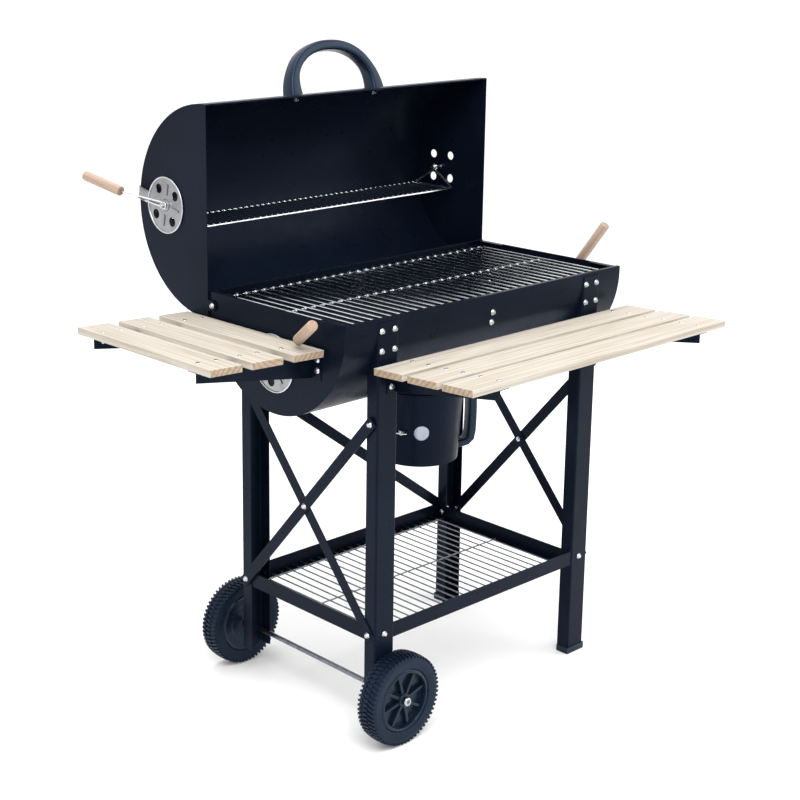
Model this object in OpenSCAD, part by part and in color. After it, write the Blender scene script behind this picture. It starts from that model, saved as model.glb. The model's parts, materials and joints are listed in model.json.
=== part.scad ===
// Barrel charcoal grill on a wheeled leg frame, with a hinged lid, rotary air vents,
// a slatted front shelf, a slatted side shelf, a wire tray and an ash pot.
// Millimetres, +Z up, lid opening towards +Y. The origin is on the floor, under the
// middle of the bounding box. Inside the modules x = 0, y = 0 lies under the barrel's
// axis; place() moves every sub-part from there to the shared origin.

/* [Barrel] */
// Length of the barrel body over its end plates
barrel_length = 772; // [760:1:780]
// Outer radius of the barrel body
barrel_radius = 192; // [190:0.5:193]
// Height of the barrel body's circle centre above the floor
barrel_height = 818; // [812:1:824]
// Thickness of the barrel and lid sheet
sheet = 1.5; // [1.2:0.1:1.6]

/* [Lid] */
// Outer radius of the lid
lid_radius = 206; // [205:0.5:208]
// Angle the lid is drawn at, 0 standing fully open
lid_angle = 0; // [0:5:90]

/* [Vents] */
// Outer radius of each vent disc
vent_radius = 56; // [54:0.5:56]
// Diameter of each wooden lever grip
grip_diameter = 20; // [16:0.5:20]
// Direction of the left lid lever, from +Y towards +Z
lid_left_lever = 11; // [-45:1:45]
// Direction of the right lid lever
lid_right_lever = 0; // [-45:1:45]
// Direction of the left body lever, kept above the side shelf
body_left_lever = 146; // [90:1:146]
// Direction of the right body lever
body_right_lever = 123; // [90:1:180]

/* [Frame] */
// Width of each leg along the barrel
leg_width = 50; // [46:1:52]
// Thickness of the leg and rail sheet
leg_sheet = 1.8; // [1.6:0.1:1.8]
// Height of the front legs' tops above the floor
front_leg_top = 822; // [815:1:824]
// Height of the rear legs' tops, below the open lid's lower edge
rear_leg_top = 769; // [766:1:769]
// Height of the tray rails' lower edges above the floor
tray_height = 203; // [190:1:210]

/* [Wheels] */
// Outer diameter of the wheels
wheel_diameter = 180; // [176:1:182]
// Width of the tyres
tyre_width = 41; // [38:1:41]

/* [Shelves] */
// Width of each wooden slat
slat_width = 71; // [66:1:72]
// Thickness of each wooden slat
slat_thickness = 13; // [11:0.5:13]

/* [Hidden] */
$fn = 48;
gap = 0.1;              // between parts that are bolted or laid together
run = 0.08;             // radial clearance of turning parts
bolt_r = 3;             // M6 shanks
hole_r = 3.3;           // clearance holes for M6
wire_r = 1.5;

// Barrel
end_x = barrel_length / 2;
inner_radius = barrel_radius - sheet;
rim_z = barrel_height + 11;
rim_flange = 8;
pan_depth = 12;
body_hub = [0, barrel_height - 94];
front_bolt_z = barrel_height - 12;
front_bolt_low_z = barrel_height - 49;
rear_bolt_z = barrel_height - 61;
// side and height of each grate bracket bolt; only one behind, clear of the open lid
bracket_bolt_spots = [[-1, barrel_height - 25], [-1, barrel_height - 45],
                      [1, barrel_height - 25]];
hinge_y = 178;
hinge_z = barrel_height - 17;

// Lid: its own frame has the closed lid's circle centre as origin
lid_end_x = end_x + 4;
lid_inner = lid_radius - sheet;
lid_lip = 6;
lid_centre = [0, barrel_height + 1];
lid_hub = [0, 121];
ear_r = 10.5;
handle_foot = [-197, 60];
handle_lean = 17;
handle_width = 258;
handle_rise = 108;
handle_depth = 32;
screw_x = 108;

// Vents
vent_hole_r = 9.25;
vent_hole_circle = 36;
disc_gap = 0.4;
disc_thickness = 1.2;
tab_end = 88;
eye_standoff = 6;
lever_reach = 208;
grip_bevel = 1.2;
straight_lever = [[5, eye_standoff], [14, 8.4], [96, 36], [lever_reach, 49]];
kinked_lever = [[5, eye_standoff], [40, 5], [104, 5], [120, 32], [202, 55]];
grip_tilt = atan((straight_lever[3][1] - straight_lever[2][1])
                 / (straight_lever[3][0] - straight_lever[2][0]));

// Frame
leg_depth = 28;
bend_r = 4;
leg_face = 194;         // outer faces of the leg webs, from the barrel's middle plane
left_leg_x = -282;
right_leg_x = 292;
left_leg_foot = 60;
cap_height = 14;
cap_floor = 2.5;
brace_low = tray_height + 14;
brace_high = 631;
brace_y = 178;
brace_width = 22;
brace_thickness = 2.5;
rail_height = 30;
rail_flange = 18;
rail_bottom = tray_height;
wire_pitch = 22;
tray_wires = 25;
left_face_x = left_leg_x - leg_width / 2;
right_face_x = right_leg_x + leg_width / 2;
left_rail_x = left_face_x + leg_sheet + 2 * gap;
right_rail_x = right_leg_x - leg_width / 2 - gap;

// Axle and wheels
axle_r = 5;
axle_x = -266;
axle_z = wheel_diameter / 2;
front_wheel_y = -217.5;
rear_wheel_y = 250;
rim_radius = 62;
lug_depth = 3.6;
lugs_per_row = 36;
axle_front = front_wheel_y - tyre_width / 2 - 6;
axle_back = rear_wheel_y + tyre_width / 2 + 6;

// Grates
grate_z = rim_z - 10;
grate_bar_r = 2.5;
grate_bars = 32;
grate_pitch = 23;
charcoal_z = barrel_height - 118;
charcoal_bars = 30;
grate_rest_z = grate_z - 3 * grate_bar_r + 0.5 - gap;

// Warming rack, hung from the lid's hub bolts
rack_drop = 42;
rack_front = -55;
rack_back = 63;
rack_end_x = end_x - 21;
rack_pivot = turned(lid_hub, lid_centre);

// Shelves
front_shelf_tilt = 2.6;
front_shelf_edge = [-205, 747.5];
front_slats_y = [-38, -121, -203];
front_slat_x = [-332, 395];
side_shelf_tilt = 2.4;
side_shelf_edge = [-end_x - 1, 779];
side_slats_x = [-42, -137, -229];
side_slat_y = [-145, 248];
side_screws_y = [-92, 187];
front_screws_x = [-250, 328];
screw_offset = 20;
front_bracket_x = [-261, 315];
front_root = -front_shelf_edge[0] - leg_face - gap;
side_root = end_x + gap + side_shelf_edge[0];

// Ash pot
pot_top = 611;
pot_bottom = 460;
pot_top_r = 90;
pot_bottom_r = 80;
pot_wall = 1.2;
collar_r = 85;
outlet_r = 75;
damper_angle = 228.6;
damper_hole_r = 15.5;
damper_z = 531;
damper_travel = 28;
wing_angle = damper_angle - 27;
pot_handle_angle = -13;
pot_handle_screws = [488, 570];

// Bounding box, for the shared origin
grip_r = grip_diameter / 2;
box_x = [side_shelf_edge[0] + (side_slats_x[2] - slat_width / 2) * cos(side_shelf_tilt)
             - slat_thickness * sin(side_shelf_tilt),
         lid_end_x + straight_lever[3][1] + grip_r * cos(grip_tilt) - 1.5 * sin(grip_tilt)];
box_y = [front_shelf_edge[0] + (front_slats_y[2] - slat_width / 2) * cos(front_shelf_tilt)
             - slat_thickness * sin(front_shelf_tilt),
         lid_centre[1] - hinge_z + hinge_y + lid_hub[1] + lever_reach
             + (grip_r - grip_bevel) * sin(grip_tilt)];
middle = [(box_x[0] + box_x[1]) / 2, (box_y[0] + box_y[1]) / 2];

// Colours
black_paint = [0.06, 0.08, 0.12];
zinc = [0.72, 0.74, 0.77];
chrome_wire = [0.78, 0.8, 0.82];
pine = [0.9, 0.84, 0.7];
beech = [0.78, 0.66, 0.55];
black_plastic = [0.05, 0.06, 0.09];

// ---------- placing ----------

// From the barrel-centred frame to the shared origin, in one colour.
module place(paint) {
    color(paint) translate([-middle[0], -middle[1], 0]) children();
}

// From the closed lid's own frame to where the lid stands.
module on_lid() {
    translate([0, hinge_y, hinge_z])
        rotate([lid_angle - 90, 0, 0])
            translate([0, lid_centre[0] - hinge_y, lid_centre[1] - hinge_z])
                children();
}

// An outline in Y and Z, drawn out along X and centred on x = 0.
module along_x(length) {
    rotate([90, 0, 90]) linear_extrude(length, center = true) children();
}

// An outline in X and Z, drawn out along Y and centred on y = 0.
module along_y(length) {
    rotate([90, 0, 0]) linear_extrude(length, center = true) children();
}

// Turns +Z to a direction and moves it to a point.
module aim(point, direction) {
    translate(point)
        rotate([0, acos(direction[2] / norm(direction)), atan2(direction[1], direction[0])])
            children();
}

// The children and their mirror image across x = 0.
module both_ends() {
    children();
    mirror([1, 0, 0]) children();
}

// The children and their mirror image across y = 0.
module front_and_rear() {
    children();
    mirror([0, 1, 0]) children();
}

// A block between two opposite corners.
module block(low, high) {
    translate(low) cube(high - low);
}

// ---------- shared shapes ----------

// A round rod between two points.
module rod(from, to, radius, sides = 16) {
    aim(from, to - from) cylinder(h = norm(to - from), r = radius, $fn = sides);
}

// A bent wire through a list of points. Each length runs a little past its bend and is
// a hair thinner than the one before, so that no two surfaces coincide.
module bent_wire(points, radius) {
    for (i = [1 : len(points) - 1]) {
        run_on = i < len(points) - 1 ? 1.1 : 0;
        length = norm(points[i] - points[i - 1]);
        rod(points[i - 1], points[i - 1] + (points[i] - points[i - 1]) * (1 + run_on / length),
            radius - 0.04 * (i - 1));
    }
}

// A dome-headed M6 bolt with its nut. The head sits at the point, the direction runs
// from the head into the work, and grip is the length between head and nut.
module bolt(point, direction, grip) {
    aim(point, direction) {
        translate([0, 0, -3.5]) cylinder(h = 3.5, r1 = 3.5, r2 = 6, $fn = 24);
        translate([0, 0, -0.5]) cylinder(h = grip + 8, r = bolt_r, $fn = 24);
        translate([0, 0, grip]) cylinder(h = 5, r = 5.8, $fn = 6);
    }
}

module bolt_hole(point, direction, length, radius = hole_r) {
    aim(point, direction) cylinder(h = length, r = radius, center = true, $fn = 24);
}

// ---------- barrel body ----------

// Lower half disc with a straight lip above its centre.
module half_disc(radius, lip) {
    intersection() {
        circle(r = radius, $fn = 96);
        translate([-radius, -radius]) square([2 * radius, radius + gap]);
    }
    translate([-radius, 0]) square([2 * radius, lip]);
}

module leg_bolt_holes() {
    for (x = [left_leg_x, right_leg_x], dx = [-16, 16]) {
        for (z = [front_bolt_z, front_bolt_low_z])
            bolt_hole([x + dx, -barrel_radius, z], [0, 1, 0], 40);
        bolt_hole([x + dx, barrel_radius, rear_bolt_z], [0, 1, 0], 50);
    }
}

module bracket_bolt_holes() {
    for (spot = bracket_bolt_spots)
        bolt_hole([0, spot[0] * barrel_radius, spot[1]], [0, 1, 0], 30);
}

module body_shell() place(black_paint) difference() {
    translate([0, 0, barrel_height]) {
        along_x(barrel_length) difference() {
            half_disc(barrel_radius, rim_z - barrel_height);
            half_disc(inner_radius, rim_z - barrel_height + 1);
        }
        for (side = [-1, 1])
            along_x(barrel_length)
                translate([side * (barrel_radius - rim_flange / 2) - rim_flange / 2,
                           rim_z - barrel_height - sheet])
                    square([rim_flange, sheet]);
    }
    leg_bolt_holes();
    bracket_bolt_holes();
    translate([0, 0, barrel_height - barrel_radius]) cylinder(h = 60, r = outlet_r, center = true);
}

// Four air holes and the hub hole, drawn about the hub.
module vent_holes(radius, circle_radius, turn) {
    for (i = [0 : 3])
        rotate(turn + 45 + 90 * i) translate([circle_radius, 0]) circle(r = radius);
    circle(r = hole_r, $fn = 24);
}

// Flat end plate with a flange folded inwards all round, for the -X end.
module body_end() {
    flange_r = inner_radius - gap;
    top = rim_z - sheet - gap - barrel_height;
    difference() {
        translate([-end_x + pan_depth / 2, 0, barrel_height])
            along_x(pan_depth) half_disc(flange_r, top);
        translate([-end_x + sheet + pan_depth / 2, 0, barrel_height])
            along_x(pan_depth) half_disc(flange_r - sheet, top - sheet);
        translate([-end_x, body_hub[0], body_hub[1]])
            along_x(10) vent_holes(vent_hole_r, vent_hole_circle, 0);
        bolt_hole([-end_x, hinge_y, hinge_z], [1, 0, 0], 10);
        side_bracket_bolts() bolt_hole([0, 0, 0], [1, 0, 0], 10);
        translate([-end_x + sheet + 2, -120, barrel_height]) cube([pan_depth, 240, 40]);
    }
}

// The side shelf's bolt positions on the left end plate.
module side_bracket_bolts() {
    for (spot = [[-120, 735], [-120, 755], [160, 738], [160, 757]])
        translate([-end_x, spot[0], spot[1]]) children();
}

module body_left_end() place(black_paint) body_end();

module body_right_end() place(black_paint) mirror([1, 0, 0]) body_end();

module ash_collar() place(black_paint) difference() {
    translate([0, 0, pot_top - 16]) difference() {
        union() {
            cylinder(h = 60, r = collar_r);
            translate([0, 0, 18]) cylinder(h = 80, r = pot_top_r);
        }
        translate([0, 0, -1]) cylinder(h = 200, r = collar_r - pot_wall);
        translate([0, 0, 18 + pot_wall]) cylinder(h = 200, r = pot_top_r - pot_wall);
    }
    translate([0, 0, barrel_height]) along_x(400) circle(r = barrel_radius + gap, $fn = 96);
}

module grate_brackets() place(zinc) difference() {
    front_and_rear() {
        block([-20, 181, barrel_height - 52], [20, 181 + sheet, grate_rest_z]);
        block([-20, 165, grate_rest_z - sheet], [20, 181 + sheet, grate_rest_z]);
    }
    bracket_bolt_holes();
}

module grate_ledges() place(black_paint) both_ends() {
    wall_x = end_x - sheet - gap;
    block([wall_x - 15, -60, grate_rest_z - sheet], [wall_x, 60, grate_rest_z]);
    block([wall_x - sheet, -60, grate_rest_z - 18], [wall_x, 60, grate_rest_z]);
}

module bracket_bolts() place(zinc)
    for (spot = bracket_bolt_spots) {
        head_top = barrel_height - spot[1] - 6;
        head_y = sqrt(barrel_radius * barrel_radius - head_top * head_top) + gap;
        bolt([0, spot[0] * head_y, spot[1]], [0, -spot[0], 0], head_y - 181 + gap);
    }

// Bars along Y, welded onto rods along X.
module grate(bars, half_width, height, rod_y, rod_length) {
    for (i = [0 : bars - 1])
        translate([(i - (bars - 1) / 2) * grate_pitch, 0, height])
            rotate([90, 0, 0])
                cylinder(h = 2 * half_width, r = grate_bar_r, center = true, $fn = 16);
    for (y = rod_y)
        translate([0, y, height - 2 * grate_bar_r + 0.5])
            rotate([0, 90, 0])
                cylinder(h = rod_length, r = grate_bar_r, center = true, $fn = 16);
}

module cooking_grate() place(chrome_wire)
    grate(grate_bars, 178, grate_z, [-172, 0, 172], barrel_length - 24);

module charcoal_grate() place(black_paint)
    grate(charcoal_bars, 146, charcoal_z, [-90, 0, 90], barrel_length - 60);

// ---------- ash pot ----------

module ash_pot() place(black_paint) difference() {
    height = pot_top - pot_bottom;
    translate([0, 0, pot_bottom]) difference() {
        union() {
            cylinder(h = height, r1 = pot_bottom_r, r2 = pot_top_r);
            translate([0, 0, height - 4]) cylinder(h = 4, r = pot_top_r + 1.2);
        }
        translate([0, 0, pot_wall])
            cylinder(h = height, r1 = pot_bottom_r - pot_wall, r2 = pot_top_r - pot_wall);
    }
    aim([0, 0, damper_z], pot_out(damper_angle)) cylinder(h = 120, r = damper_hole_r);
    rotate([0, 0, wing_angle - damper_travel - 2.5])
        rotate_extrude(angle = damper_travel + 5)
            translate([pot_bottom_r - 10, damper_z - 3.2]) square([30, 6.4]);
    for (z = pot_handle_screws)
        aim([0, 0, z], pot_out(pot_handle_angle)) cylinder(h = 120, r = 2.3, $fn = 24);
}

function pot_out(angle) = [cos(angle), sin(angle), 0];

// Radius of the pot's outside at a height.
function pot_r(z) = pot_bottom_r
    + (pot_top_r - pot_bottom_r) * (z - pot_bottom) / (pot_top - pot_bottom);

module ash_pot_handle() place(black_plastic)
    rotate([0, 0, pot_handle_angle]) difference() {
        rotate([90, 0, 0]) linear_extrude(23, center = true) difference() {
            polygon([[pot_r(470) + 0.8, 470], [134, 470], [138, 478], [138, 575],
                     [126, 592], [pot_r(592) + 0.8, 592]]);
            polygon([[pot_r(488) + 8, 484], [124, 484], [125, 572], [119, 578],
                     [pot_r(578) + 8, 578]]);
        }
        for (z = pot_handle_screws)
            translate([pot_r(z), 0, z]) rotate([0, 90, 0]) cylinder(h = 12, r = 2.1, center = true);
    }

// Curved slide inside the pot wall that covers the air hole.
module ash_damper() place(zinc) difference() {
    rotate([0, 0, wing_angle - 6]) rotate_extrude(angle = 50, $fn = 96)
        polygon([for (p = [[510, -1.5], [510, -2.5], [552, -2.5], [552, -1.5]])
                     [pot_r(p[0]) - pot_wall + p[1] + 1, p[0]]]);
    aim([0, 0, damper_z], pot_out(wing_angle)) cylinder(h = 120, r = 2.6, $fn = 24);
}

module ash_wing_nut() place(zinc)
    aim([0, 0, damper_z], pot_out(wing_angle)) {
        face = pot_r(damper_z) + 0.6;
        translate([0, 0, face - 6]) cylinder(h = 14, r = 2.5, $fn = 24);
        translate([0, 0, face - 6.2]) cylinder(h = 2.4, r = 4.5, $fn = 24);
        translate([0, 0, face]) cylinder(h = 6, r1 = 6, r2 = 4.5, $fn = 24);
        for (side = [-1, 1])
            translate([0, side * 7, face + 5.5]) rotate([side * -35, 0, 0])
                cube([1.6, 9, 7], center = true);
    }

// ---------- lid ----------

module lid_profile(radius, lip) {
    rotate(180) half_disc(radius, lip);
}

module lid_shell() place(black_paint) on_lid() difference() {
    union() {
        along_x(2 * lid_end_x) difference() {
            lid_profile(lid_radius, lid_lip);
            lid_profile(lid_inner, lid_lip + 1);
        }
        for (side = [-1, 1])
            along_x(2 * lid_end_x - 40)
                translate([side * (lid_inner - sheet / 2) - sheet / 2, -lid_lip])
                    square([sheet, 10]);
    }
    for (side = [-1, 1])
        bolt_hole([side * screw_x, handle_foot[0], handle_foot[1]], handle_out(), 60);
}

function handle_out() = [0, -cos(handle_lean), sin(handle_lean)];

// The lid's end plate, for the -X end.
module lid_end() {
    flange_r = lid_inner - gap;
    difference() {
        union() {
            translate([-lid_end_x + pan_depth / 2, 0, 0])
                along_x(pan_depth) lid_profile(flange_r, lid_lip);
            translate([-lid_end_x + sheet / 2, hinge_y, hinge_z - lid_centre[1]])
                along_x(sheet) {
                    circle(r = ear_r);
                    translate([-ear_r, 0]) square([2 * ear_r, 30]);
                }
        }
        translate([-lid_end_x + sheet + pan_depth / 2, 0, 0])
            along_x(pan_depth) lid_profile(flange_r - sheet, lid_lip + 1);
        translate([-lid_end_x, lid_hub[0], lid_hub[1]])
            along_x(10) vent_holes(vent_hole_r, vent_hole_circle, 0);
        bolt_hole([-lid_end_x, hinge_y, hinge_z - lid_centre[1]], [1, 0, 0], 10, bolt_r + run);
    }
}

module lid_left_end() place(black_paint) on_lid() lid_end();

module lid_right_end() place(black_paint) on_lid() mirror([1, 0, 0]) lid_end();

// Turns a drawing with +Y out of the lid and X along it onto the handle's feet.
module at_handle() {
    translate([0, handle_foot[0], handle_foot[1]])
        rotate([180 - handle_lean, 0, 0])
            children();
}

// Arched outline of the handle, moved inwards by inset and a little more at the feet.
module handle_outline(inset) {
    top = handle_rise - inset;
    foot = handle_width / 2 - 1.4 * inset;
    shoulder_x = handle_width / 2 - inset - 62;
    hull() {
        translate([-foot, -12]) square([2 * foot, 4]);
        translate([0, top - 70]) circle(r = 70, $fn = 32);
        for (side = [-1, 1])
            translate([side * shoulder_x, top - 50]) circle(r = 46, $fn = 32);
    }
}

module lid_handle() place(black_plastic) on_lid() difference() {
    at_handle() difference() {
        linear_extrude(handle_depth, center = true) difference() {
            handle_outline(0);
            handle_outline(23);
        }
        for (side = [-1, 1])
            translate([side * screw_x, 8, 0]) rotate([90, 0, 0])
                cylinder(h = 40, r = hole_r, center = true, $fn = 24);
    }
    along_x(400) circle(r = lid_radius + gap, $fn = 96);
}

module handle_screws() place(zinc) on_lid() at_handle()
    for (side = [-1, 1])
        translate([side * screw_x, -10, 0]) rotate([-90, 0, 0]) {
            cylinder(h = 30, r = bolt_r, $fn = 24);
            translate([0, 0, -2]) cylinder(h = 3, r = 6.5, $fn = 24);
        }

module hinge_bolts() place(zinc) both_ends() {
    head_x = lid_end_x + gap;
    bolt([head_x, hinge_y, hinge_z], [-1, 0, 0], head_x - end_x + sheet + gap);
    aim([end_x + gap, hinge_y, hinge_z], [1, 0, 0])
        cylinder(h = lid_end_x - sheet - end_x - 2 * gap, r = 7, $fn = 24);
}

// Wires between two rods, hung at each end from an eye on the lid's hub bolt.
module warming_rack() place(chrome_wire) translate([0, rack_pivot[0], rack_pivot[1]]) {
    for (y = [rack_front, rack_back])
        rod([-rack_end_x, y, -rack_drop], [rack_end_x, y, -rack_drop], 2.5);
    for (i = [-24 : 24])
        rod([i * 15, rack_front, 2.5 - rack_drop], [i * 15, rack_back, 2.5 - rack_drop], 1.25, 8);
    both_ends() difference() {
        union() {
            rod([rack_end_x, rack_front, -rack_drop], [rack_end_x, -2, -5], 2.5);
            rod([rack_end_x, rack_back, -rack_drop], [rack_end_x, 2, -5], 2.5);
            rod([rack_end_x, rack_front, -rack_drop], [rack_end_x, rack_back, -rack_drop], 2.5);
            translate([rack_end_x, 0, 0]) rotate([0, 90, 0])
                cylinder(h = 5, r = 7, center = true, $fn = 24);
            for (y = [rack_front, rack_back])
                translate([rack_end_x, y, -rack_drop]) sphere(r = 2.5, $fn = 16);
        }
        bolt_hole([rack_end_x, 0, 0], [1, 0, 0], 20, bolt_r + run);
    }
}

// A point of the lid's end outline, in Y and Z where the lid stands.
function turned(p, centre) =
    let (y = p[0] + centre[0] - hinge_y, z = p[1] + centre[1] - hinge_z, a = lid_angle - 90)
    [hinge_y + y * cos(a) - z * sin(a), hinge_z + y * sin(a) + z * cos(a)];

// ---------- vents ----------

// Drawn about the hub with +Z out of the end plate and the lever along +X.
module vent_disc() difference() {
    union() {
        translate([0, 0, disc_gap]) cylinder(h = disc_thickness, r = vent_radius - 1);
        translate([0, 0, disc_gap + 1.3]) rotate_extrude() translate([vent_radius - 1.3, 0])
            circle(r = 1.3, $fn = 16);
        for (i = [1 : 3])
            rotate([0, 0, 90 * i]) block([20, -2, disc_gap], [42, 2, disc_gap + 3]);
        translate([0, 0, disc_gap]) cylinder(h = 3.6, r = 7);
        block([vent_radius - 4, -12.5, disc_gap], [tab_end, 12.5, disc_gap + disc_thickness]);
        for (side = [-1, 1])
            block([vent_radius, side * 11.9 - 0.6, disc_gap], [tab_end, side * 11.9 + 0.6, 4.5]);
    }
    translate([0, 0, -1]) {
        for (i = [0 : 3])
            rotate([0, 0, 45 + 90 * i]) translate([vent_hole_circle + 1, 0, 0])
                cylinder(h = 10, r = vent_hole_r + 0.25);
        cylinder(h = 20, r = bolt_r + run, $fn = 24);
    }
}

// A path in the plane of a lever as points in space, its last length cut short.
function wire_points(path, short) =
    let (last = path[len(path) - 1], run = last - path[len(path) - 2],
         end = last - run * short / norm(run))
    [for (i = [0 : len(path) - 1])
        i < len(path) - 1 ? [path[i][0], 0, path[i][1]] : [end[0], 0, end[1]]];

// Lever wire with its eye round the hub bolt and a short leg hooked over the disc's edge.
module lever_wire(path) difference() {
    union() {
        bent_wire(wire_points(path, 4), wire_r);
        rod([2, 5, eye_standoff], [tab_end - 24, 9, 4.9], wire_r - 0.2);
        translate([0, 0, eye_standoff]) cylinder(h = 2 * wire_r + 0.4, r = 7, center = true);
    }
    cylinder(h = 40, r = bolt_r + 2 * run, center = true, $fn = 24);
}

// Wooden grip bored for the wire, between the last two points of the path.
module grip(path) {
    last = path[len(path) - 1];
    base = path[len(path) - 2];
    start = [base[0] + 5, 0, base[1] + 5 * (last[1] - base[1]) / (last[0] - base[0])];
    end = [last[0], 0, last[1]];
    length = norm(end - start);
    aim(start, end - start) difference() {
        union() {
            translate([0, 0, 1.5]) cylinder(h = length - 3, r = grip_r);
            cylinder(h = 1.5, r1 = grip_r - grip_bevel, r2 = grip_r);
            translate([0, 0, length - 1.5])
                cylinder(h = 1.5, r1 = grip_r, r2 = grip_r - grip_bevel);
        }
        translate([0, 0, -1]) cylinder(h = length - 1.5, r = wire_r + 0.05, $fn = 16);
    }
}

// Moves a vent drawing onto an end plate: side is -1 at -X and 1 at +X.
module on_plate(side, plate_x, hub, angle) {
    translate([side * plate_x, hub[0], hub[1]])
        rotate([90, 0, side * 90])
            rotate([0, 0, side > 0 ? angle : 180 - angle])
                children();
}

module on_lid_plate(side, angle) {
    on_plate(side, lid_end_x, rack_pivot, angle) children();
}

module on_body_plate(side, angle) {
    on_plate(side, end_x, body_hub, angle) children();
}

// Hub bolt through plate, disc and lever eye; inner is its length inside the plate.
module hub_bolt(inner) {
    translate([0, 0, -inner]) cylinder(h = inner + 14, r = bolt_r, $fn = 24);
    translate([0, 0, eye_standoff + wire_r + 3 * gap]) cylinder(h = 5, r = 5.8, $fn = 6);
    translate([0, 0, -sheet - gap - 5]) cylinder(h = 5, r = 5.8, $fn = 6);
    if (inner > 20)
        translate([0, 0, -inner]) cylinder(h = 3, r = 5.8, $fn = 6);
}

// ---------- leg frame ----------

// Outline of a leg, web at -Y with rounded bends, moved inwards by inset.
module leg_outline(inset) {
    r = bend_r - inset;
    half = leg_width / 2 - inset;
    translate([0, -leg_face + inset]) {
        for (side = [-1, 1])
            translate([side * (half - r), r]) circle(r = r, $fn = 32);
        translate([-half, r]) square([2 * half, leg_depth - bend_r]);
        translate([r - half, 0]) square([2 * (half - r), leg_depth - inset]);
    }
}

// Folded channel section of a leg.
module channel_section() difference() {
    leg_outline(0);
    translate([0, gap]) leg_outline(leg_sheet);
    leg_outline(leg_sheet);
}

// A leg seen from the front: inner is the side its notched flange faces.
module leg(middle_x, bottom, top, inner, bolt_heights) difference() {
    translate([middle_x, 0, bottom]) linear_extrude(top - bottom) channel_section();
    translate([0, 0, barrel_height]) along_x(900) half_disc(barrel_radius + gap, 40);
    flange_x = middle_x + inner * leg_width / 2;
    notch = bend_r + 1;
    block([flange_x - notch, -leg_face + leg_sheet, rail_bottom - 0.7],
          [flange_x + notch, -leg_face + leg_sheet + 2.6, rail_bottom + rail_height + 0.7]);
    block([flange_x - notch, -leg_face + leg_sheet, rail_bottom - 0.7],
          [flange_x + notch, -leg_face + leg_sheet + rail_flange + 3, rail_bottom + 2.6]);
    for (z = bolt_heights, dx = [-16, 16])
        bolt_hole([middle_x + dx, -leg_face, z], [0, 1, 0], 20);
    bolt_hole([middle_x, -leg_face, brace_low], [0, 1, 0], 12);
    for (z = [brace_low, brace_high], side = [-1, 1])
        bolt_hole([middle_x + side * leg_width / 2, -brace_y, z], [1, 0, 0], 10);
    bolt_hole([axle_x, -leg_face, axle_z], [0, 1, 0], 12, axle_r + 0.2);
}

module front_left_leg() place(black_paint) difference() {
    leg(left_leg_x, left_leg_foot, front_leg_top, 1, [front_bolt_z, front_bolt_low_z]);
    front_bracket_bolts() bolt_hole([0, 0, 0], [0, 1, 0], 12);
}

module front_right_leg() place(black_paint) difference() {
    leg(right_leg_x, cap_floor + gap, front_leg_top, -1, [front_bolt_z, front_bolt_low_z]);
    front_bracket_bolts() bolt_hole([0, 0, 0], [0, 1, 0], 12);
}

module rear_left_leg() place(black_paint) mirror([0, 1, 0]) difference() {
    leg(left_leg_x, left_leg_foot, rear_leg_top, 1, [rear_bolt_z]);
    bolt_hole([left_leg_x, -leg_face, brace_high], [0, 1, 0], 12);
}

module rear_right_leg() place(black_paint) mirror([0, 1, 0])
    leg(right_leg_x, cap_floor + gap, rear_leg_top, -1, [rear_bolt_z]);

// Plastic caps under the right legs, walled outside and inside the channel.
module foot_caps() place(black_plastic) front_and_rear()
    translate([right_leg_x, 0, 0]) difference() {
        inner = leg_width / 2 - 2 * leg_sheet;
        block([-leg_width / 2 - 1.5, -leg_face - 1.5, 0],
              [leg_width / 2 + 1.5, -leg_face + leg_depth, cap_height]);
        translate([0, 0, cap_floor]) linear_extrude(cap_height) leg_outline(-gap);
    }

// Angle rail along X behind the front legs' webs.
module long_rail() difference() {
    low_y = -leg_face + leg_sheet + gap;
    x = [left_face_x + bend_r + gap, right_face_x - bend_r - gap];
    union() {
        block([x[0], low_y, rail_bottom], [x[1], low_y + leg_sheet, rail_bottom + rail_height]);
        block([x[0], low_y, rail_bottom], [x[1], low_y + rail_flange, rail_bottom + leg_sheet]);
    }
    for (middle_x = [left_leg_x, right_leg_x])
        bolt_hole([middle_x, low_y, brace_low], [0, 1, 0], 10);
}

module front_tray_rail() place(black_paint) long_rail();

module rear_tray_rail() place(black_paint) mirror([0, 1, 0]) long_rail();

// Angle rail along Y: x is its upright's outer face, side the way its flange turns.
module short_rail(x, side) difference() {
    end_y = leg_face - leg_sheet - 2.2;
    flange_y = leg_face - leg_sheet - rail_flange - 2;
    translate([x, 0, 0]) mirror([side > 0 ? 0 : 1, 0, 0]) union() {
        block([0, -end_y, rail_bottom + 2.4], [leg_sheet, end_y, rail_bottom + rail_height]);
        block([0, -flange_y, rail_bottom], [leg_sheet, flange_y, rail_bottom + 3]);
        block([0, -flange_y, rail_bottom], [rail_flange, flange_y, rail_bottom + leg_sheet]);
    }
    for (y = [-brace_y, brace_y])
        bolt_hole([x, y, brace_low], [1, 0, 0], 10);
}

module left_tray_rail() place(black_paint) short_rail(left_rail_x, 1);

module right_tray_rail() place(black_paint) short_rail(right_rail_x, -1);

module tray_grid() place(chrome_wire) {
    z = rail_bottom + leg_sheet + gap + wire_r;
    length = 2 * (leg_face - leg_sheet - 3.5);
    middle_x = (left_leg_x + right_leg_x) / 2 - 24;
    for (i = [0 : tray_wires - 1])
        translate([middle_x + (i - (tray_wires - 1) / 2) * wire_pitch, 0, z])
            rotate([90, 0, 0]) cylinder(h = length, r = wire_r, center = true, $fn = 16);
    for (y = [-160, 0, 160])
        translate([middle_x, y, z + 2 * wire_r - 0.4])
            rotate([0, 90, 0])
                cylinder(h = (tray_wires - 1) * wire_pitch + 8, r = wire_r, center = true, $fn = 16);
}

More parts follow.
